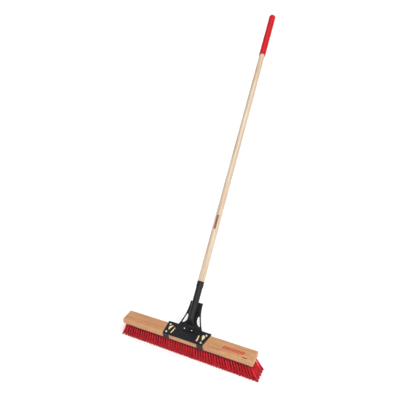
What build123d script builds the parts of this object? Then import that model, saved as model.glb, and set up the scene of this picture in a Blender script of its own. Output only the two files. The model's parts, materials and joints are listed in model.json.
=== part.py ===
from build123d import *
import math
import os

# Push broom: a hardwood block with five rows of fanned bristle tufts, a steel bracket with a
# socket tube, and a wooden handle with a rubber grip. Millimetres, +Z up, +X along the block,
# -Y is the front. The origin is the centre of the plane that the bristle tips stand on.

# ---------------------------------------------------------------- driving dimensions
BLOCK_LENGTH = 609.6
BLOCK_WIDTH = 63.5
BLOCK_THICK = 25.4
BLOCK_TOP_R = 8.5
BLOCK_BOTTOM_R = 3.5
BLOCK_END_R = 3.2

TRIM = 69.0
TUFTS_PER_ROW = 51
TUFT_PITCH = 11.6
ROWS = 5
ROW_PITCH = 12.0
TUFT_ROOT_R = 3.6
TUFT_TIP_R = 5.6
TUFT_ROOT_DEPTH = 10.0
HOLE_R = 3.7
HOLE_DEPTH = 11.0
HOLE_RUN_IN = 3.0
FAN_CENTRE_DEG = -0.5
FAN_END_DEG = 19.0
FAN_FLARE_DEG = 5.0
FAN_FLARE_POWER = 12
ROW_SPREAD = 1.22
ANCHOR_THICK = 0.7
ANCHOR_LENGTH = 6.6
ANCHOR_DEEP = 2.2
ANCHOR_GAP = 0.05

LEAN_DEG = 45.0
AXIS_FOOT_Y = 13.9

SHEET = 2.5
PLATE_REAR_Y = 35.4
PLATE_FRONT_Y = 34.4
PLATE_REAR_HALF = 102.3
PLATE_FRONT_HALF = 92.9
PLATE_CORNER_R = 2.5
FRONT_BEND_R = 2.2
SLOT_CORNER_R = 1.2
WINDOW_CORNER_R = 0.9
TAB_INNER = 66.0
TAB_OUTER = 92.9
TAB_CORNER_R = 3.0
BRACE_TOP = 124.0
BRACE_FOOT_HALF = 55.5
BRACE_TOP_HALF = 29.5

TUBE_OD = 27.6
TUBE_ID = 24.8
TUBE_TOP = 211.6
TUBE_ROUND_END = 64.0
TONGUE_WIDTH = 44.0
TONGUE_THICK = 3.4
TONGUE_FRONT_Y = 9.0
COLLAR_OD = 30.2
COLLAR_LENGTH = 25.6
TUBE_SEAT_GAP = 0.1
TONGUE_CORNER_R = 6.0

RIVET_X = 17.2
RIVET_Y = 18.6
RIVET_SHANK_R = 2.4
RIVET_HEAD_R = 3.0
RIVET_HEAD_H = 1.7
RIVET_TAIL_R = 3.8
RIVET_TAIL_H = 1.8
RIVET_TAIL_CLEARANCE = 0.4

SCREW_REAR = (85.9, 19.2)
SCREW_FRONT = (81.1, -23.3)
SCREW_SHANK_R = 2.4
SCREW_HEAD_R = 4.6
SCREW_HEAD_H = 2.8
SCREW_LENGTH = 14.0
SCREW_POINT = 4.0
FASTENER_GAP = 0.1

WOOD_D = 28.6
WOOD_TOP_D = 26.4
WOOD_LENGTH = 1524.0
EXPOSED_LENGTH = 1384.0
TENON_D = 24.66
TENON_CHAMFER = 2.0
GRIP_R = 15.6
GRIP_LENGTH = 239.0
GRIP_CAP = 3.6
GRIP_RIM_R = 16.2
GRIP_RIM_LENGTH = 4.0
GRIP_DOME_R = 12.0
GRIP_GAP = 0.04
WOOD_END_R = 10.0

# ---------------------------------------------------------------- worked out from them
TOP = TRIM + BLOCK_THICK
PLATE_TOP = TOP + SHEET
LEAN = math.radians(LEAN_DEG)
AXIS_DIR = (0, math.sin(LEAN), math.cos(LEAN))
SHOULDER = TUBE_TOP + 0.05
WOOD_BOTTOM = SHOULDER + EXPOSED_LENGTH - WOOD_LENGTH
WOOD_TOP = WOOD_BOTTOM + WOOD_LENGTH
GRIP_TOP = WOOD_TOP + GRIP_CAP
GRIP_BOTTOM = GRIP_TOP - GRIP_LENGTH
GRIP_BORE_R = WOOD_TOP_D / 2 + GRIP_GAP
BRACE_FRONT = TUBE_OD / 2 + TUBE_SEAT_GAP
UPWARDS = (Align.CENTER, Align.CENTER, Align.MIN)
DOWNWARDS = (Align.CENTER, Align.CENTER, Align.MAX)

# The handle plane stands square to the handle: its z runs up the handle from where the axis
# meets the block's top, and its y points back and down, towards the brace.
HANDLE = Plane(origin=(0, AXIS_FOOT_Y, TOP), x_dir=(1, 0, 0), z_dir=AXIS_DIR)
# The brace plane lies along the handle, against the front face of the brace.
BRACE = Plane(origin=HANDLE.from_local_coords((0, BRACE_FRONT, 0)), x_dir=(1, 0, 0),
              z_dir=tuple(-HANDLE.y_dir))
# The section plane holds the handle's axis: x is the radius and y runs up the handle.
SECTION = Plane(origin=HANDLE.origin, x_dir=(1, 0, 0), z_dir=tuple(-HANDLE.y_dir))


def tuft_places(row):
    """Frame of each tuft in a row, counted from -Y: its origin is where the tuft leaves the
    block, and its z runs up the tuft's hole. The fan opens evenly, and flares at both ends."""
    foot_y = (row - (ROWS - 1) / 2) * ROW_PITCH
    splay_y = foot_y * (ROW_SPREAD - 1) / TRIM
    places = []
    for i in range(TUFTS_PER_ROW):
        share = (i - (TUFTS_PER_ROW - 1) / 2) / ((TUFTS_PER_ROW - 1) / 2)
        foot_x = share * TUFT_PITCH * (TUFTS_PER_ROW - 1) / 2
        flare = math.copysign(FAN_FLARE_DEG * share ** FAN_FLARE_POWER, share)
        splay_x = math.tan(math.radians(FAN_CENTRE_DEG + FAN_END_DEG * share + flare))
        place = Plane(origin=(foot_x, foot_y, TRIM), x_dir=(1, 0, 0), z_dir=(-splay_x, -splay_y, 1))
        places.append(place.location)
    return places


os.makedirs("parts", exist_ok=True)

# ---------------------------------------------------------------- block
screw_points = []
for side in (-1, 1):
    for x, y in (SCREW_REAR, SCREW_FRONT):
        screw_points.append((side * x, y))
rivet_points = [(-RIVET_X, RIVET_Y), (RIVET_X, RIVET_Y)]
SCREW_TIP_Z = PLATE_TOP - SCREW_LENGTH

with BuildPart() as block:
    with BuildSketch(Plane.YZ) as moulding:
        with Locations((0, TRIM + BLOCK_THICK / 2)):
            Rectangle(BLOCK_WIDTH, BLOCK_THICK)
        fillet(moulding.vertices().group_by(Axis.Y)[-1], BLOCK_TOP_R)
        fillet(moulding.vertices().group_by(Axis.Y)[0], BLOCK_BOTTOM_R)
    extrude(amount=BLOCK_LENGTH / 2, both=True)
    end_faces = block.faces().sort_by(Axis.X)
    fillet(end_faces[0].edges() + end_faces[-1].edges(), BLOCK_END_R)
    # Pilot holes for the plate screws, and reliefs for the rivets' upset tails.
    with BuildSketch(Plane.XY.offset(SCREW_TIP_Z - 1)):
        with Locations(*screw_points):
            Circle(SCREW_SHANK_R + FASTENER_GAP)
    extrude(amount=BLOCK_THICK, mode=Mode.SUBTRACT)
    with BuildSketch(Plane.XY.offset(TOP - RIVET_TAIL_H - RIVET_TAIL_CLEARANCE)):
        with Locations(*rivet_points):
            Circle(RIVET_TAIL_R + RIVET_TAIL_CLEARANCE)
    extrude(amount=RIVET_TAIL_H + RIVET_TAIL_CLEARANCE, mode=Mode.SUBTRACT)
    # Every tuft has its own blind hole, drilled from below at the tuft's own slant.
    for row in range(ROWS):
        with Locations(*tuft_places(row)):
            with Locations((0, 0, -HOLE_RUN_IN)):
                Cylinder(HOLE_R, HOLE_RUN_IN + HOLE_DEPTH, align=UPWARDS, mode=Mode.SUBTRACT)
block.part.label = "block"
export_step(block.part, "parts/block.step")

# ---------------------------------------------------------------- bristle tufts and wire anchors
TUFT_TAPER = (TUFT_TIP_R - TUFT_ROOT_R) / TRIM
CONE_LENGTH = TRIM * 1.15
for row in range(ROWS):
    with BuildPart() as tufts:
        with Locations(*tuft_places(row)):
            Cone(TUFT_ROOT_R + TUFT_TAPER * CONE_LENGTH, TUFT_ROOT_R, CONE_LENGTH, align=DOWNWARDS)
            Cylinder(TUFT_ROOT_R, TUFT_ROOT_DEPTH, align=UPWARDS)
            # The fold of the bristles straddles the anchor, so each root has a slot across its top.
            with Locations((0, 0, TUFT_ROOT_DEPTH - ANCHOR_DEEP - ANCHOR_GAP)):
                Box(ANCHOR_THICK + 2 * ANCHOR_GAP, 4 * HOLE_R, 2 * ANCHOR_DEEP, align=UPWARDS,
                    mode=Mode.SUBTRACT)
        # All the tips are trimmed to one plane.
        split(bisect_by=Plane.XY, keep=Keep.TOP)
    tufts.part.label = f"tufts_row_{row + 1}"
    export_step(tufts.part, f"parts/tufts_row_{row + 1}.step")

    with BuildPart() as anchors:
        with Locations(*tuft_places(row)):
            with Locations((0, 0, TUFT_ROOT_DEPTH - ANCHOR_DEEP)):
                Box(ANCHOR_THICK, ANCHOR_LENGTH, ANCHOR_DEEP, align=UPWARDS)
    anchors.part.label = f"tuft_anchors_row_{row + 1}"
    export_step(anchors.part, f"parts/tuft_anchors_row_{row + 1}.step")

# ---------------------------------------------------------------- bracket
# One stamping: a base plate, two tabs folded down over the block's front face, and a brace
# folded up from the rear edge, which carries the socket tube.
with BuildPart() as bracket:
    with BuildSketch(Plane.XY.offset(TOP)) as base_outline:
        Polygon((-PLATE_REAR_HALF, PLATE_REAR_Y), (-PLATE_FRONT_HALF, -PLATE_FRONT_Y),
                (PLATE_FRONT_HALF, -PLATE_FRONT_Y), (PLATE_REAR_HALF, PLATE_REAR_Y), align=None)
        fillet(base_outline.vertices().group_by(Axis.Y)[-1], PLATE_CORNER_R)
        # Two slots at each end, which leave three ribs between the screws.
        for side in (-1, 1):
            with BuildSketch(mode=Mode.PRIVATE) as slots:
                Polygon((side * 56.8, -23.0), (side * 64.6, -22.4), (side * 60.0, 12.0),
                        (side * 53.8, 11.0), align=None)
                Polygon((side * 77.6, -10.0), (side * 81.0, -10.0), (side * 86.4, 9.0), (side * 79.6, 15.8),
                        (side * 73.6, 20.6), (side * 68.6, 15.6), align=None)
                fillet(slots.vertices(), SLOT_CORNER_R)
            add(slots.sketch, mode=Mode.SUBTRACT)
        with Locations(*screw_points):
            Circle(SCREW_SHANK_R + FASTENER_GAP, mode=Mode.SUBTRACT)
        with Locations(*rivet_points):
            Circle(RIVET_SHANK_R + FASTENER_GAP, mode=Mode.SUBTRACT)
    extrude(amount=SHEET)

    # Front tabs, down to the block's lower edge.
    for side in (-1, 1):
        with BuildSketch(Plane.XZ.offset(PLATE_FRONT_Y - SHEET)) as tab_outline:
            with Locations((side * (TAB_INNER + TAB_OUTER) / 2, (TRIM + PLATE_TOP) / 2)):
                Rectangle(TAB_OUTER - TAB_INNER, PLATE_TOP - TRIM)
            fillet(tab_outline.vertices().group_by(Axis.Y)[0], TAB_CORNER_R)
        extrude(amount=SHEET)
    top_edges = bracket.edges().filter_by(Axis.X).group_by(Axis.Z)[-1]
    fillet(top_edges.group_by(Axis.Y)[0], FRONT_BEND_R)

    # Brace with a tall window each side of the tube.
    with BuildSketch(BRACE) as brace_outline:
        with BuildLine():
            right = Spline((BRACE_FOOT_HALF, 17.0), (45.8, 38.0), (34.8, 71.0), (BRACE_TOP_HALF, BRACE_TOP))
            mirror(right, about=Plane.YZ)
            Line((-BRACE_TOP_HALF, BRACE_TOP), (BRACE_TOP_HALF, BRACE_TOP))
            Polyline((-BRACE_FOOT_HALF, 17.0), (-BRACE_FOOT_HALF, 12.0), (BRACE_FOOT_HALF, 12.0),
                     (BRACE_FOOT_HALF, 17.0))
        make_face()
        for side in (-1, 1):
            with BuildSketch(mode=Mode.PRIVATE) as window:
                with BuildLine():
                    ThreePointArc((side * 24.8, 67.0), (side * 24.4, 43.0), (side * 41.0, 28.2))
                    Line((side * 41.0, 28.2), (side * 42.2, 31.5))
                    Spline((side * 42.2, 31.5), (side * 36.0, 49.0), (side * 29.6, 67.6))
                    Line((side * 29.6, 67.6), (side * 24.8, 67.0))
                make_face()
                fillet(window.vertices(), WINDOW_CORNER_R)
            add(window.sketch, mode=Mode.SUBTRACT)
    extrude(amount=-SHEET)
    # Trim off what the brace's foot leaves below the plate.
    with Locations((0, PLATE_REAR_Y, TOP - 25)):
        Box(4 * BRACE_FOOT_HALF, 60, 50, mode=Mode.SUBTRACT)
    # Web of the rear bend, which joins the plate's rear edge to the foot of the brace.
    with BuildSketch(Plane.YZ.offset(-BRACE_FOOT_HALF)):
        Polygon((PLATE_REAR_Y - 1, TOP), (PLATE_REAR_Y + 1.7, TOP), (PLATE_REAR_Y + 4.2, PLATE_TOP),
                (PLATE_REAR_Y + 0.6, PLATE_TOP), (PLATE_REAR_Y - 1, PLATE_TOP), align=None)
    extrude(amount=2 * BRACE_FOOT_HALF)
bracket.part.label = "bracket"
export_step(bracket.part, "parts/bracket.step")

# ---------------------------------------------------------------- socket tube
# A round tube whose lower end is pressed flat against the corner of plate and brace, and
# turned forwards along the plate as a riveted tongue.
CORNER_Y = PLATE_REAR_Y + 0.6
FLAT = Plane(origin=(0, CORNER_Y - 1.6, PLATE_TOP + 3.0), x_dir=(1, 0, 0),
             z_dir=(0, math.sin(3 * LEAN / 2), math.cos(3 * LEAN / 2)))
TONGUE = Plane(origin=(0, CORNER_Y - 7.0, PLATE_TOP + TONGUE_THICK / 2 + 0.05), x_dir=(1, 0, 0),
               z_dir=(0, 1, 0))
SQUASH = TUBE_ROUND_END - 27.0
SQUASH_WIDTH = 35.0
SQUASH_THICK = 18.0
BORE_END_R = 5.0
BORE_TAPER = 20.0
with BuildPart() as socket_tube:
    with BuildSketch(HANDLE.offset(TUBE_ROUND_END)):
        Circle(TUBE_OD / 2)
    extrude(amount=TUBE_TOP - TUBE_ROUND_END)
    with BuildSketch(TONGUE):
        SlotOverall(TONGUE_WIDTH, TONGUE_THICK)
    with BuildSketch(FLAT):
        SlotOverall(TONGUE_WIDTH, TONGUE_THICK + 1.0)
    with BuildSketch(HANDLE.offset(SQUASH)):
        with Locations((0, TUBE_OD / 2 - SQUASH_THICK / 2)):
            SlotOverall(SQUASH_WIDTH, SQUASH_THICK)
    with BuildSketch(HANDLE.offset(TUBE_ROUND_END)):
        SlotOverall(TUBE_OD + 0.4, TUBE_OD)
    loft()
    with BuildSketch(Plane.XY.offset(PLATE_TOP + 0.05)) as tongue_outline:
        with Locations((0, (TONGUE_FRONT_Y + CORNER_Y - 7.0) / 2)):
            Rectangle(TONGUE_WIDTH, CORNER_Y - 7.0 - TONGUE_FRONT_Y)
        fillet(tongue_outline.vertices().group_by(Axis.Y)[0], TONGUE_CORNER_R)
    extrude(amount=TONGUE_THICK)
    # The pressed end seats flush on the brace and on the plate.
    split(bisect_by=BRACE.offset(TUBE_SEAT_GAP / 2), keep=Keep.TOP)
    split(bisect_by=Plane.XY.offset(PLATE_TOP + 0.05), keep=Keep.TOP)
    # Bore for the handle's tenon, closing in where the tube is pressed flat.
    with BuildSketch(HANDLE.offset(TUBE_ROUND_END)):
        Circle(TUBE_ID / 2)
    extrude(amount=TUBE_TOP - TUBE_ROUND_END, mode=Mode.SUBTRACT)
    with Locations(HANDLE.offset(TUBE_ROUND_END + 1).location):
        Cone(BORE_END_R, TUBE_ID / 2 - 0.4, BORE_TAPER, align=DOWNWARDS, mode=Mode.SUBTRACT)
    with Locations(*[(x, y, PLATE_TOP) for x, y in rivet_points]):
        Cylinder(RIVET_SHANK_R + FASTENER_GAP, 30, mode=Mode.SUBTRACT)
socket_tube.part.label = "socket_tube"
export_step(socket_tube.part, "parts/socket_tube.step")

# ---------------------------------------------------------------- collar
# A steel ring that keeps the tube's mouth round.
with BuildPart() as socket_collar:
    with BuildSketch(HANDLE.offset(TUBE_TOP - COLLAR_LENGTH)):
        Circle(COLLAR_OD / 2)
        Circle(TUBE_OD / 2 + 0.03, mode=Mode.SUBTRACT)
    extrude(amount=COLLAR_LENGTH)
    chamfer(socket_collar.edges().filter_by(GeomType.CIRCLE).sort_by(SortBy.RADIUS)[-2:], 0.5)
socket_collar.part.label = "socket_collar"
export_step(socket_collar.part, "parts/socket_collar.step")

# ---------------------------------------------------------------- welds
# Two beads in the crevices between the round tube and the flat brace.
WELD_START = 86.0
WELD_LENGTH = 34.0
with BuildPart() as brace_welds:
    for side in (-1, 1):
        with BuildSketch(HANDLE.offset(WELD_START)):
            with Locations((side * 8.6, TUBE_OD / 2 - 1.6)):
                Circle(2.6)
            Circle(TUBE_OD / 2 + 0.03, mode=Mode.SUBTRACT)
            with Locations((0, BRACE_FRONT - 0.03 + 10)):
                Rectangle(60, 20, mode=Mode.SUBTRACT)
        extrude(amount=WELD_LENGTH)
brace_welds.part.label = "brace_welds"
export_step(brace_welds.part, "parts/brace_welds.step")

# ---------------------------------------------------------------- tongue rivets
TONGUE_TOP = PLATE_TOP + 0.05 + TONGUE_THICK
with BuildPart() as tongue_rivets:
    with BuildSketch(Plane.XY.offset(TOP - RIVET_TAIL_H)):
        with Locations(*rivet_points):
            Circle(RIVET_TAIL_R)
    extrude(amount=RIVET_TAIL_H - 0.05)
    with BuildSketch(Plane.XY.offset(TOP - 0.5)):
        with Locations(*rivet_points):
            Circle(RIVET_SHANK_R)
    extrude(amount=TONGUE_TOP - TOP + 1)
    with BuildSketch(Plane.XY.offset(TONGUE_TOP + 0.03)):
        with Locations(*rivet_points):
            Circle(RIVET_HEAD_R)
    extrude(amount=RIVET_HEAD_H)
    fillet(tongue_rivets.edges().group_by(Axis.Z)[-1], RIVET_HEAD_H - 0.3)
tongue_rivets.part.label = "tongue_rivets"
export_step(tongue_rivets.part, "parts/tongue_rivets.step")

# ---------------------------------------------------------------- plate screws
# Pan-head wood screws with a crossed recess.
with BuildPart() as plate_screws:
    with BuildSketch(Plane.XY.offset(SCREW_TIP_Z)):
        with Locations(*screw_points):
            Circle(SCREW_SHANK_R)
    extrude(amount=SCREW_LENGTH + 0.5)
    chamfer(plate_screws.edges().group_by(Axis.Z)[0], SCREW_POINT, SCREW_SHANK_R - 0.3)
    with BuildSketch(Plane.XY.offset(PLATE_TOP + 0.03)):
        with Locations(*screw_points):
            Circle(SCREW_HEAD_R)
    extrude(amount=SCREW_HEAD_H)
    fillet(plate_screws.edges().group_by(Axis.Z)[-1], SCREW_HEAD_H - 0.4)
    for x, y in screw_points:
        with Locations(Location((x, y, PLATE_TOP + SCREW_HEAD_H), (0, 0, 25))):
            Box(4.4, 1.0, 3.0, mode=Mode.SUBTRACT)
            Box(1.0, 4.4, 3.0, mode=Mode.SUBTRACT)
plate_screws.part.label = "plate_screws"
export_step(plate_screws.part, "parts/plate_screws.step")

# ---------------------------------------------------------------- handle
# Tapered round hardwood, with its lower end turned down to a tenon that slides into the socket
# tube until the shoulder meets the tube's mouth.
with BuildPart() as handle:
    with BuildSketch(SECTION):
        with BuildLine():
            Polyline((0, WOOD_TOP), (0, WOOD_BOTTOM), (TENON_D / 2 - TENON_CHAMFER, WOOD_BOTTOM),
                     (TENON_D / 2, WOOD_BOTTOM + TENON_CHAMFER), (TENON_D / 2, SHOULDER),
                     (WOOD_D / 2, SHOULDER), (WOOD_TOP_D / 2, GRIP_BOTTOM - 5),
                     (WOOD_TOP_D / 2, WOOD_TOP - WOOD_END_R))
            CenterArc((WOOD_TOP_D / 2 - WOOD_END_R, WOOD_TOP - WOOD_END_R), WOOD_END_R, 0, 90)
            Line((WOOD_TOP_D / 2 - WOOD_END_R, WOOD_TOP), (0, WOOD_TOP))
        make_face()
    revolve(axis=Axis(HANDLE.origin, HANDLE.z_dir))
handle.part.label = "handle"
export_step(handle.part, "parts/handle.step")

# ---------------------------------------------------------------- grip
# Closed rubber sleeve over the handle's top end, with a low rim at its mouth.
with BuildPart() as grip:
    with BuildSketch(SECTION):
        with BuildLine():
            Polyline((0, GRIP_TOP), (GRIP_R - GRIP_DOME_R, GRIP_TOP))
            CenterArc((GRIP_R - GRIP_DOME_R, GRIP_TOP - GRIP_DOME_R), GRIP_DOME_R, 0, 90)
            Polyline((GRIP_R, GRIP_TOP - GRIP_DOME_R), (GRIP_R, GRIP_BOTTOM + GRIP_RIM_LENGTH + 1),
                     (GRIP_RIM_R, GRIP_BOTTOM + GRIP_RIM_LENGTH), (GRIP_RIM_R, GRIP_BOTTOM),
                     (GRIP_BORE_R, GRIP_BOTTOM), (GRIP_BORE_R, WOOD_TOP + GRIP_GAP - WOOD_END_R))
            CenterArc((GRIP_BORE_R - WOOD_END_R, WOOD_TOP + GRIP_GAP - WOOD_END_R), WOOD_END_R, 0, 90)
            Polyline((GRIP_BORE_R - WOOD_END_R, WOOD_TOP + GRIP_GAP), (0, WOOD_TOP + GRIP_GAP),
                     (0, GRIP_TOP))
        make_face()
    revolve(axis=Axis(HANDLE.origin, HANDLE.z_dir))
grip.part.label = "grip"
export_step(grip.part, "parts/grip.step")
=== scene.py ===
import json
import math
import random
import bpy
from mathutils import Matrix, Vector


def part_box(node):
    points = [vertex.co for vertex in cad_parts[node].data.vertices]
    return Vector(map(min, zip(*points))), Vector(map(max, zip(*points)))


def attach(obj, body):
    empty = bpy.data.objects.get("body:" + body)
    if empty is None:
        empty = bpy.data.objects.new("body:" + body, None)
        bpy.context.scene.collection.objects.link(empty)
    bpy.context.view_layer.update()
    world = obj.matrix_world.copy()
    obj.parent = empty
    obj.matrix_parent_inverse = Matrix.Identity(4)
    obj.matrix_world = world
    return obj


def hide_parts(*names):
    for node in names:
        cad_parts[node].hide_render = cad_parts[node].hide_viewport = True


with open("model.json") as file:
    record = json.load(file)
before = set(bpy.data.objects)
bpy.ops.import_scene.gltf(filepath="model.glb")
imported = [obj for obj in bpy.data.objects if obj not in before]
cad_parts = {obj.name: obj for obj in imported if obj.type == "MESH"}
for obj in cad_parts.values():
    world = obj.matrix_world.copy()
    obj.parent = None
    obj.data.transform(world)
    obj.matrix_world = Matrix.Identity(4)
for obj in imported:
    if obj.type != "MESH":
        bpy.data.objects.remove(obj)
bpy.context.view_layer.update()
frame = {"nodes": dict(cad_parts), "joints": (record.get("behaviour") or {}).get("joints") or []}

# Looks of a push broom: bristles made of single filaments, two kinds of wood, powder-coated steel,
# zinc-plated fasteners and a rubber grip. Metres, in the frame of the CAD model: +X along the block,
# -Y is the front, the bristle tips stand on z = 0.
MM = 0.001

# ------------------------------------------------------------------ places taken from the frame
BLOCK_LOW, BLOCK_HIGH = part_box("block")
TRIM = BLOCK_LOW.z
HANDLE_AXIS = Vector(frame["joints"][0]["axis"]).normalized()
LEAN = math.atan2(HANDLE_AXIS.y, HANDLE_AXIS.z)
COLLAR_LOW, COLLAR_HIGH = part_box("socket_collar")
TUBE_MOUTH = (COLLAR_LOW + COLLAR_HIGH) / 2

# ------------------------------------------------------------------ camera
CAMERA_PLACE = (0.71975, -1.02682, 1.30732)
CAMERA_AZIMUTH = 29.98
CAMERA_ELEVATION = 25.93
CAMERA_ROLL = -5.44
CAMERA_LENS = 35.95
SENSOR_WIDTH = 36
CLIP_END = 50


def make_camera():
    az, el, roll = (math.radians(a) for a in (CAMERA_AZIMUTH, CAMERA_ELEVATION, CAMERA_ROLL))
    back = Vector((math.sin(az) * math.cos(el), -math.cos(az) * math.cos(el), math.sin(el)))
    level = Vector((math.cos(az), math.sin(az), 0))
    upright = back.cross(level)
    right = math.cos(roll) * level + math.sin(roll) * upright
    up = math.cos(roll) * upright - math.sin(roll) * level
    data = bpy.data.cameras.new("camera")
    data.lens = CAMERA_LENS
    data.sensor_width = SENSOR_WIDTH
    data.clip_end = CLIP_END
    camera = bpy.data.objects.new("camera", data)
    camera.matrix_world = Matrix((right, up, back)).transposed().to_4x4()
    camera.location = CAMERA_PLACE
    bpy.context.scene.collection.objects.link(camera)
    bpy.context.scene.camera = camera


# ------------------------------------------------------------------ light and floor
KEY_AZIMUTH = 52
KEY_ELEVATION = 58
KEY_ENERGY = 1.95
KEY_SPREAD = math.radians(40)
SOFTBOX_AZIMUTH = 62
SOFTBOX_ELEVATION = 24
SOFTBOX_DISTANCE = 2.4
SOFTBOX_ENERGY = 13
SOFTBOX_SIZE = (0.7, 2.2)
LIGHT_AIM = Vector((0, 0.4, 0.5))
FLOOR_HALF = 20.0
SKY_HORIZON = 1.05
SKY_BACK = 0.28
SKY_FRONT = 0.7
HORIZON_BAND = (0.05, 0.3)


def towards(azimuth, elevation):
    """Direction from the object towards a light; azimuth 0 is the front, 90 is +X."""
    az, el = math.radians(azimuth), math.radians(elevation)
    return Vector((math.sin(az) * math.cos(el), -math.cos(az) * math.cos(el), math.sin(el)))


def add_light(name, kind, direction, distance=0.0, **settings):
    data = bpy.data.lights.new(name, kind)
    for key, value in settings.items():
        setattr(data, key, value)
    light = bpy.data.objects.new(name, data)
    light.rotation_euler = direction.to_track_quat("Z", "Y").to_euler()
    light.location = LIGHT_AIM + distance * direction
    bpy.context.scene.collection.objects.link(light)


def make_studio():
    bpy.context.scene.view_settings.view_transform = "Standard"
    # A white band along the horizon; above it the sky is dim at the back and bright at the front.
    world = bpy.data.worlds.new("studio")
    world.use_nodes = True
    tree = world.node_tree
    sky = tree.nodes.new("ShaderNodeTexCoord").outputs["Generated"]
    facing = tree.nodes.new("ShaderNodeVectorMath")
    facing.operation = "DOT_PRODUCT"
    facing.inputs[1].default_value = towards(KEY_AZIMUTH, KEY_ELEVATION)
    front = tree.nodes.new("ShaderNodeMapRange")
    front.inputs["From Min"].default_value = -1
    front.inputs["To Min"].default_value = SKY_BACK
    front.inputs["To Max"].default_value = SKY_FRONT
    height = tree.nodes.new("ShaderNodeSeparateXYZ")
    band = tree.nodes.new("ShaderNodeMapRange")
    band.inputs["From Min"].default_value, band.inputs["From Max"].default_value = HORIZON_BAND
    band.inputs["To Min"].default_value = SKY_HORIZON
    background = tree.nodes["Background"]
    background.inputs["Color"].default_value = (1, 1, 1, 1)
    tree.links.new(sky, facing.inputs[0])
    tree.links.new(sky, height.inputs[0])
    tree.links.new(facing.outputs["Value"], front.inputs["Value"])
    tree.links.new(height.outputs["Z"], band.inputs["Value"])
    tree.links.new(front.outputs[0], band.inputs["To Max"])
    tree.links.new(band.outputs[0], background.inputs["Strength"])
    bpy.context.scene.world = world
    add_light("key", "SUN", towards(KEY_AZIMUTH, KEY_ELEVATION), energy=KEY_ENERGY, angle=KEY_SPREAD)
    add_light("softbox", "AREA", towards(SOFTBOX_AZIMUTH, SOFTBOX_ELEVATION), SOFTBOX_DISTANCE,
              energy=SOFTBOX_ENERGY, shape="RECTANGLE", size=SOFTBOX_SIZE[0], size_y=SOFTBOX_SIZE[1])


# ------------------------------------------------------------------ material tools
class Paint:
    """One material, with short ways to add its nodes. A value is a number, a colour or a socket."""

    def __init__(self, name, **values):
        self.material = bpy.data.materials.new(name)
        self.material.use_nodes = True
        self.tree = self.material.node_tree
        self.shader = self.tree.nodes["Principled BSDF"]
        self.where = self.add("TexCoord").outputs["Object"]
        for key, value in values.items():
            self.put(self.shader.inputs[key.replace("_", " ")], value)

    def put(self, socket, value):
        """Links a socket, or sets a number or a colour."""
        if isinstance(value, bpy.types.NodeSocket):
            self.tree.links.new(value, socket)
        else:
            socket.default_value = value

    def add(self, kind, inputs=(), **settings):
        node = self.tree.nodes.new("ShaderNode" + kind)
        for key, value in settings.items():
            setattr(node, key, value)
        for key, value in dict(inputs).items():
            self.put(node.inputs[key], value)
        return node

    def math(self, operation, *values):
        return self.add("Math", enumerate(values), operation=operation).outputs[0]

    def split(self, vector):
        return self.add("SeparateXYZ", {0: vector}).outputs

    def join(self, x, y, z):
        return self.add("CombineXYZ", {0: x, 1: y, 2: z}).outputs[0]

    def stretch(self, vector, x, y, z):
        return self.add("VectorMath", {0: vector, 1: (x, y, z)}, operation="MULTIPLY").outputs[0]

    def noise(self, vector, scale, detail=2.0, roughness=0.5, distortion=0.0):
        values = {"Vector": vector, "Scale": scale, "Detail": detail, "Roughness": roughness,
                  "Distortion": distortion}
        return self.add("TexNoise", values).outputs[0]

    def cells(self, vector, scale, output="Distance"):
        return self.add("TexVoronoi", {"Vector": vector, "Scale": scale}).outputs[output]

    def fade(self, value, start, end, low=0.0, high=1.0):
        """Goes smoothly from low to high while value goes from start to end."""
        values = {"Value": value, "From Min": start, "From Max": end, "To Min": low, "To Max": high}
        return self.add("MapRange", values, interpolation_type="SMOOTHSTEP").outputs[0]

    def band(self, value, start, end, soft):
        """1 between start and end, 0 outside, with soft edges."""
        rise = self.fade(value, start - soft, start + soft)
        fall = self.fade(value, end - soft, end + soft, 1.0, 0.0)
        return self.math("MULTIPLY", rise, fall)

    def mix(self, share, first, second):
        return self.add("Mix", {0: share, 6: first, 7: second}, data_type="RGBA").outputs[2]

    def bump(self, height, distance, strength=1.0, normal=None):
        values = {"Height": height, "Distance": distance, "Strength": strength}
        if normal is not None:
            values["Normal"] = normal
        return self.add("Bump", values).outputs[0]

    def bevel(self, radius):
        """Normal of a slightly rounded edge, for pressed sheet metal."""
        return self.add("Bevel", {"Radius": radius}, samples=4).outputs[0]

    def finish(self, **links):
        for key, value in links.items():
            self.put(self.shader.inputs[key.replace("_", " ")], value)
        return self.material


def rgb(red, green, blue):
    """A colour given as 0 to 255 screen values."""
    def linear(v):
        v /= 255
        return v / 12.92 if v <= 0.04045 else ((v + 0.055) / 1.055) ** 2.4
    return (linear(red), linear(green), linear(blue), 1.0)


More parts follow.
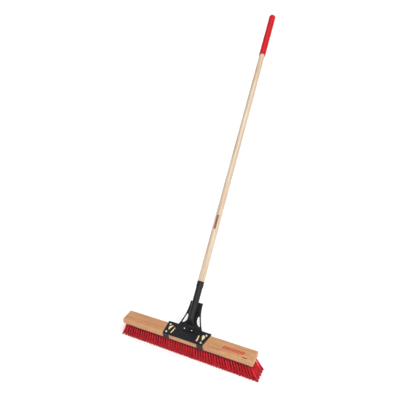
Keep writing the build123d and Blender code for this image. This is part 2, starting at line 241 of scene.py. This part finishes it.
# ------------------------------------------------------------------ wood
def wood_figure(p, along, across, up, pith, ring, wander, streaks):
    """Growth rings as the distance from a wandering pith, with fibres, pores and broad stains.
    Gives sockets for late wood, fibres, pores and stains, each from 0 to 1."""
    grain = p.join(along, across, up)
    wave = p.noise(p.stretch(grain, 2.2, 9.0, 9.0), 1.0, 3.0)
    sway = p.math("MULTIPLY", p.math("SUBTRACT", wave, 0.5), wander)
    a = p.math("ADD", p.math("SUBTRACT", across, pith[0]), sway)
    u = p.math("ADD", p.math("SUBTRACT", up, pith[1]), p.math("MULTIPLY", sway, 0.7))
    radius = p.math("SQRT", p.math("ADD", p.math("MULTIPLY", a, a), p.math("MULTIPLY", u, u)))
    turn = p.math("FRACT", p.math("DIVIDE", radius, ring))
    late = p.math("MULTIPLY", p.fade(turn, 0.35, 0.93), p.fade(turn, 0.94, 1.0, 1.0, 0.0))
    fibres = p.noise(p.stretch(grain, 14.0, 620.0, 620.0), 1.0, 3.0, 0.65, 0.1)
    pores = p.fade(p.noise(p.stretch(grain, 95.0, 1300.0, 1300.0), 1.0, 1.0, 0.4), 0.66, 0.76)
    stains = p.fade(p.noise(p.stretch(grain, 5.0, streaks, streaks), 1.0, 4.0, 0.6, 0.3), 0.34, 0.68)
    return late, fibres, pores, stains


# The painted light on the wood under the plate, the printed bars, and two marks in the figure of the block.
PLATE_HALF = 94 * MM
PLATE_DEEP = 29 * MM
PRINT_START = 172 * MM
PRINT_END = 264 * MM
PRINT_LOW = -14 * MM
PRINT_HIGH = 3 * MM
PRINT_BAR_PITCH = 10.2 * MM
FLECK_START = 259 * MM
FLECK_END = 279 * MM
FLECK_Y = -24 * MM
FLECK_HALF = 1.7 * MM
STREAK_START = 118 * MM
STREAK_END = 168 * MM
STREAK_Y = -26.5 * MM
STREAK_HALF = 1.2 * MM


def block_wood():
    p = Paint("block_wood", Specular_IOR_Level=0.4, Coat_Weight=0.12, Coat_Roughness=0.3)
    x, y, z = p.split(p.where)
    late, fibres, pores, stains = wood_figure(p, x, y, z, (0.02, 0.03), 6.5 * MM, 0.05, 34.0)
    base = p.mix(stains, rgb(192, 146, 99), rgb(182, 123, 88))
    base = p.mix(p.math("MULTIPLY", late, 0.28), base, rgb(156, 98, 60))
    mottle = p.noise(p.stretch(p.where, 70, 190, 190), 1.0, 4.0, 0.7)
    base = p.mix(p.fade(mottle, 0.42, 0.68, 0.0, 0.55), base, rgb(152, 98, 58))
    base = p.mix(p.fade(fibres, 0.38, 0.66, 0.0, 0.45), base, rgb(204, 160, 112))
    # Painted light lightens the wood under the plate, where it shows through the slots.
    painted_slot_light = p.math("MULTIPLY", p.band(x, -PLATE_HALF, PLATE_HALF, 2 * MM),
                  p.math("MULTIPLY", p.band(y, -PLATE_DEEP, PLATE_DEEP, 1 * MM),
                         p.fade(z, BLOCK_HIGH.z - 2 * MM, BLOCK_HIGH.z)))
    base = p.mix(p.math("MULTIPLY", painted_slot_light, 0.8), base, rgb(250, 226, 178))
    base = p.mix(p.math("MULTIPLY", pores, 0.45), base, rgb(128, 82, 48))
    # A dark fleck and a thin brown streak in the figure, near the right end of the front edge.
    waver = p.noise(p.stretch(p.where, 34, 60, 0), 1.0, 2.0)
    wave = p.math("MULTIPLY", p.math("SUBTRACT", waver, 0.5), 6 * MM)
    bent = p.math("ADD", y, wave)
    nearly_straight = p.math("ADD", y, p.math("MULTIPLY", wave, 0.25))
    fleck = p.math("MULTIPLY", p.band(x, FLECK_START, FLECK_END, 1.5 * MM),
                   p.band(nearly_straight, FLECK_Y - FLECK_HALF, FLECK_Y + FLECK_HALF, 0.7 * MM))
    base = p.mix(p.math("MULTIPLY", fleck, 0.95), base, rgb(56, 36, 14))
    streak = p.math("MULTIPLY", p.band(x, STREAK_START, STREAK_END, 6 * MM),
                    p.band(bent, STREAK_Y - STREAK_HALF, STREAK_Y + STREAK_HALF, 0.9 * MM))
    base = p.mix(p.math("MULTIPLY", streak, 0.6), base, rgb(140, 84, 48))
    # A row of plain slanted bars, printed in red and a little worn.
    shift = p.math("SUBTRACT", p.math("SUBTRACT", x, PRINT_START), p.math("MULTIPLY", y, 0.35))
    phase = p.math("FRACT", p.math("DIVIDE", shift, PRINT_BAR_PITCH))
    bars = p.band(phase, 0.2, 0.8, 0.04)
    zone = p.math("MULTIPLY", p.band(shift, 0.0, PRINT_END - PRINT_START, 0.2 * MM),
                  p.band(y, PRINT_LOW, PRINT_HIGH, 0.25 * MM))
    ink = p.math("MULTIPLY", p.math("MULTIPLY", bars, zone), p.fade(z, BLOCK_HIGH.z - 1 * MM, BLOCK_HIGH.z))
    worn = p.fade(p.noise(p.stretch(p.where, 150, 500, 500), 1.0, 3.0, 0.7), 0.3, 0.5, 0.7, 1.0)
    base = p.mix(p.math("MULTIPLY", ink, worn), base, rgb(186, 34, 28))
    # Painted shade darkens both sawn ends of the block.
    painted_end_shade = p.fade(p.math("ABSOLUTE", x), BLOCK_HIGH.x - 5 * MM, BLOCK_HIGH.x, 0.0, 0.4)
    base = p.mix(painted_end_shade, base, rgb(176, 118, 72))
    grain = p.bump(fibres, 0.12 * MM, 0.5)
    grain = p.bump(pores, -0.12 * MM, 0.6, grain)
    rough = p.fade(fibres, 0.3, 0.7, 0.36, 0.52)
    return p.finish(Base_Color=base, Roughness=rough, Normal=grain)


# The printed strip on the handle: distance from the tube's mouth, and angle from the handle's front.
HANDLE_MARK_START = 247 * MM
HANDLE_MARK_LENGTH = 65 * MM
HANDLE_MARK_PITCH = 6.5 * MM
HANDLE_MARK_TURN = math.radians(10)
HANDLE_MARK_HALF = math.radians(21)


def handle_wood():
    p = Paint("handle_wood", Specular_IOR_Level=0.4, Coat_Weight=0.2, Coat_Roughness=0.25)
    # Straighten the leaning handle: along runs up it, across is +X and back points away from its front.
    centred = p.add("VectorMath", {0: p.where, 1: tuple(TUBE_MOUTH)}, operation="SUBTRACT").outputs[0]
    turned = p.add("VectorRotate", {"Vector": centred, "Angle": LEAN}, rotation_type="X_AXIS").outputs[0]
    across, back, along = p.split(turned)
    late, fibres, pores, stains = wood_figure(p, along, across, back, (0.011, 0.02), 2.9 * MM, 0.012, 60.0)
    base = p.mix(stains, rgb(196, 180, 158), rgb(178, 150, 122))
    base = p.mix(p.math("MULTIPLY", late, 0.5), base, rgb(150, 116, 88))
    base = p.mix(p.fade(fibres, 0.38, 0.66, 0.0, 0.5), base, rgb(216, 198, 172))
    base = p.mix(p.math("MULTIPLY", pores, 0.3), base, rgb(160, 120, 84))
    # A strip of plain dark red bars, printed along the handle.
    place = p.math("SUBTRACT", along, HANDLE_MARK_START)
    around = p.math("ARCTAN2", across, p.math("MULTIPLY", back, -1.0))
    phase = p.math("FRACT", p.math("DIVIDE", place, HANDLE_MARK_PITCH))
    aside = p.math("SUBTRACT", around, HANDLE_MARK_TURN)
    sides = p.band(aside, -HANDLE_MARK_HALF, HANDLE_MARK_HALF, 0.03)
    strip = p.math("MULTIPLY", p.band(place, 0.0, HANDLE_MARK_LENGTH, 0.3 * MM), sides)
    ink = p.math("MULTIPLY", strip, p.band(phase, 0.07, 0.93, 0.04))
    base = p.mix(ink, base, rgb(112, 4, 18))
    grain = p.bump(fibres, 0.08 * MM, 0.4)
    grain = p.bump(pores, -0.08 * MM, 0.5, grain)
    return p.finish(Base_Color=base, Roughness=p.fade(fibres, 0.3, 0.7, 0.3, 0.42), Normal=grain)


# ------------------------------------------------------------------ steel
def black_coat(name, mottle, rough_low, rough_high):
    """Black powder coat: fine orange peel, cloudy gloss, and grey dust in patches."""
    p = Paint(name, Specular_IOR_Level=0.27)
    peel = p.noise(p.where, 900.0, 2.0, 0.5)
    cloud = p.noise(p.where, 60.0, 4.0, 0.6, 0.4)
    dust = p.fade(p.noise(p.where, 210.0, 5.0, 0.7), 0.52, 0.74, 0.0, mottle)
    base = p.mix(p.fade(cloud, 0.3, 0.7), rgb(17, 18, 20), rgb(25, 27, 30))
    base = p.mix(dust, base, rgb(70, 70, 74))
    rough = p.fade(cloud, 0.3, 0.7, rough_low, rough_high)
    normal = p.bump(peel, 0.1 * MM, 0.35, p.bevel(0.5 * MM))
    return p.finish(Base_Color=base, Roughness=rough, Normal=normal)


def zinc():
    """Bright zinc plate with a faint crystal pattern."""
    p = Paint("zinc", Metallic=1.0)
    crystals = p.cells(p.where, 900.0, output="Color")
    tone = p.split(crystals)[0]
    base = p.mix(p.math("MULTIPLY", tone, 0.5), rgb(236, 236, 240), rgb(244, 238, 222))
    rough = p.fade(p.noise(p.where, 700.0, 3.0, 0.6), 0.3, 0.7, 0.16, 0.34)
    normal = p.bump(p.noise(p.where, 1500.0, 2.0), 0.05 * MM, 0.3, p.bevel(0.25 * MM))
    return p.finish(Base_Color=base, Roughness=rough, Normal=normal)


# ------------------------------------------------------------------ rubber and bristle
def grip_rubber():
    """Red vinyl rubber: satin, slightly grained, with faint scuffs."""
    p = Paint("grip_rubber", Specular_IOR_Level=0.15, Coat_Weight=0.06, Coat_Roughness=0.25)
    cloud = p.noise(p.where, 25.0, 4.0, 0.6)
    scuff = p.fade(p.noise(p.stretch(p.where, 300, 90, 90), 1.0, 4.0, 0.7), 0.6, 0.75, 0.0, 0.35)
    base = p.mix(p.fade(cloud, 0.3, 0.7), rgb(172, 4, 16), rgb(188, 8, 22))
    base = p.mix(scuff, base, rgb(206, 40, 50))
    pebble = p.cells(p.where, 1600.0)
    normal = p.bump(pebble, 0.12 * MM, 0.35)
    return p.finish(Base_Color=base, Roughness=p.fade(cloud, 0.3, 0.7, 0.36, 0.5), Normal=normal)


def bristle_plastic():
    """Red plastic filaments, each with its own tone. Tips are paler; painted shade darkens the roots and
    the gaps deep in the field of tufts.
    """
    p = Paint("bristle_red", Roughness=0.36, Specular_IOR_Level=0.35)
    own = p.add("NewGeometry").outputs["Random Per Island"]
    x, y, z = p.split(p.where)
    base = p.mix(p.fade(own, 0.0, 1.0), rgb(224, 22, 38), rgb(254, 54, 68))
    base = p.mix(p.fade(z, 0.0, 0.25 * TRIM, 0.3, 0.0), base, rgb(240, 74, 84))
    streaks = p.noise(p.stretch(p.where, 900, 900, 40), 1.0, 2.0)
    base = p.mix(p.fade(streaks, 0.3, 0.7, 0.0, 0.3), base, rgb(190, 14, 36))
    # Painted shade darkens the filaments deep in the field of tufts, most of all close to the block.
    drop = p.math("SUBTRACT", 1.0, p.math("DIVIDE", z, TRIM))
    reach_y = p.fade(drop, 0.0, 1.0, FIELD_ROOT_Y, FIELD_TIP_Y)
    reach_x = p.fade(drop, 0.0, 1.0, FIELD_ROOT_X, FIELD_TIP_X)
    depth_y = p.math("SUBTRACT", reach_y, p.math("ABSOLUTE", y))
    depth_x = p.math("SUBTRACT", reach_x, p.math("ABSOLUTE", x))
    depth = p.math("MINIMUM", depth_y, p.math("MULTIPLY", depth_x, END_SHADE_SHARE))
    painted_gap_shade = p.math("MULTIPLY", p.fade(depth, 0.8 * MM, 4.6 * MM), p.fade(drop, 0.85, 0.35, 0.0, 0.985))
    # Painted shadow: every filament is darkened towards its root, under the block.
    base = p.mix(p.fade(drop, 0.0, 0.45, 0.65, 0.0), base, rgb(96, 4, 16))
    return p.finish(Base_Color=p.mix(painted_gap_shade, base, rgb(20, 0, 4)))


# ------------------------------------------------------------------ bristles
TUFTS_PER_ROW = 51
TUFT_SPAN = 580 * MM
ROWS = 5
ROW_PITCH = 12 * MM
FAN_CENTRE = math.radians(-0.5)
FAN_END = math.radians(19)
FAN_FLARE = math.radians(5)
FAN_FLARE_POWER = 12
ROW_SPREAD = 1.22
FILAMENTS = 72
FILAMENT_R = 0.5 * MM
ROOT_R = 2.5 * MM
TIP_R = 6.6 * MM
ROOT_DEPTH = 3 * MM
FILAMENT_STEPS = 2
FILAMENT_SIDES = 3
GATHER_POWER = 1.9
TUFT_LEAN_R = 0.5 * MM
TIP_JITTER_R = 0.6 * MM
BOW_R = 0.7 * MM
TRIM_SPREAD = (0.02 * MM, 0.7 * MM)
STRAY_SHARE = 0.015
STRAY_R = 2.6 * MM
GOLDEN_TURN = math.pi * (3 - math.sqrt(5))
FIELD_ROOT_Y = (ROWS - 1) / 2 * ROW_PITCH + ROOT_R
FIELD_TIP_Y = (ROWS - 1) / 2 * ROW_PITCH * ROW_SPREAD + TIP_R
FIELD_ROOT_X = TUFT_SPAN / 2 + ROOT_R
FIELD_TIP_X = TUFT_SPAN / 2 + TRIM * math.tan(FAN_END + FAN_FLARE) + TIP_R
# Scales the depth from the ends of the field in the painted gap shade.
END_SHADE_SHARE = 0.2


def filament_line(foot, splay, root, tip, length, bow):
    """Points down one filament, from inside its hole to its tip."""
    points = []
    for step in range(FILAMENT_STEPS + 1):
        share = step / FILAMENT_STEPS
        drop = share * (length + ROOT_DEPTH) - ROOT_DEPTH
        spread = max(0.0, drop / TRIM)
        offset = root.lerp(tip, spread ** GATHER_POWER) + bow * math.sin(math.pi * spread)
        points.append(Vector((foot.x + splay.x * drop + offset.x, foot.y + splay.y * drop + offset.y,
                              TRIM - drop)))
    return points


def disc_point(chance, radius):
    """A random point inside a circle."""
    angle = chance.uniform(0, 2 * math.pi)
    reach = radius * math.sqrt(chance.random())
    return Vector((reach * math.cos(angle), reach * math.sin(angle)))


def make_bristle_row(row, material):
    """One row of tufts, fanned out along X, each a bundle of thin three-sided filaments."""
    chance = random.Random(1000 + row)
    points, faces = [], []
    half = (TUFTS_PER_ROW - 1) / 2
    for i in range(TUFTS_PER_ROW):
        share = (i - half) / half
        foot = Vector((share * TUFT_SPAN / 2, (row - (ROWS - 1) / 2) * ROW_PITCH))
        flare = math.copysign(FAN_FLARE * share ** FAN_FLARE_POWER, share)
        splay = Vector((math.tan(FAN_CENTRE + FAN_END * share + flare), foot.y * (ROW_SPREAD - 1) / TRIM))
        lean = disc_point(chance, TUFT_LEAN_R)
        fullness = chance.uniform(0.92, 1.04)
        turn_of_tuft = chance.uniform(0, 2 * math.pi)
        for number in range(FILAMENTS):
            reach = math.sqrt((number + 0.6) / FILAMENTS)
            around = turn_of_tuft + number * GOLDEN_TURN
            spoke = Vector((reach * math.cos(around), reach * math.sin(around)))
            root = spoke * ROOT_R
            tip = spoke * TIP_R * fullness + disc_point(chance, TIP_JITTER_R) + lean
            if chance.random() < STRAY_SHARE:
                tip += disc_point(chance, STRAY_R)
            bow = disc_point(chance, BOW_R)
            length = TRIM - chance.uniform(*TRIM_SPREAD)
            line = filament_line(foot, splay, root, tip, length, bow)
            turn = chance.uniform(0, 2 * math.pi)
            first = len(points)
            for point in line:
                for side in range(FILAMENT_SIDES):
                    angle = turn + side * 2 * math.pi / FILAMENT_SIDES
                    points.append(point + FILAMENT_R * Vector((math.cos(angle), math.sin(angle), 0)))
            for step in range(FILAMENT_STEPS):
                ring = first + FILAMENT_SIDES * step
                for side in range(FILAMENT_SIDES):
                    a = ring + side
                    b = ring + (side + 1) % FILAMENT_SIDES
                    faces.append((b, a, a + FILAMENT_SIDES, b + FILAMENT_SIDES))
            end = first + FILAMENT_SIDES * FILAMENT_STEPS
            faces.append(tuple(reversed(range(end, end + FILAMENT_SIDES))))
            faces.append(tuple(range(first, first + FILAMENT_SIDES)))
    mesh = bpy.data.meshes.new(f"bristles_row_{row + 1}")
    mesh.from_pydata(points, [], faces)
    mesh.shade_smooth()
    mesh.materials.append(material)
    piece = bpy.data.objects.new(f"bristles_row_{row + 1}", mesh)
    bpy.context.scene.collection.objects.link(piece)
    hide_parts(f"tufts_row_{row + 1}")
    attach(piece, "head")


# ------------------------------------------------------------------ floor
def make_floor():
    p = Paint("floor_paint", Roughness=0.7, Specular_IOR_Level=0.2)
    cloud = p.noise(p.where, 1.5, 3.0)
    p.finish(Base_Color=p.mix(cloud, (0.95, 0.95, 0.95, 1), (0.97, 0.97, 0.97, 1)))
    h = FLOOR_HALF
    mesh = bpy.data.meshes.new("floor")
    mesh.from_pydata([(-h, -h, 0), (h, -h, 0), (h, h, 0), (-h, h, 0)], [], [(0, 1, 2, 3)])
    mesh.materials.append(p.material)
    floor = bpy.data.objects.new("floor", mesh)
    bpy.context.scene.collection.objects.link(floor)


# ------------------------------------------------------------------ finishes of the CAD nodes
def dress(material, *names):
    for name in names:
        mesh = frame["nodes"][name].data
        mesh.materials.clear()
        mesh.materials.append(material)


make_camera()
make_studio()
make_floor()
dress(block_wood(), "block")
dress(handle_wood(), "handle")
dress(black_coat("bracket_black", 0.12, 0.34, 0.5), "bracket")
dress(black_coat("tube_black", 0.5, 0.36, 0.6), "socket_tube", "socket_collar", "brace_welds")
dress(zinc(), "plate_screws", "tongue_rivets", *[f"tuft_anchors_row_{row + 1}" for row in range(ROWS)])
dress(grip_rubber(), "grip")
bristle_red = bristle_plastic()
for row in range(ROWS):
    make_bristle_row(row, bristle_red)
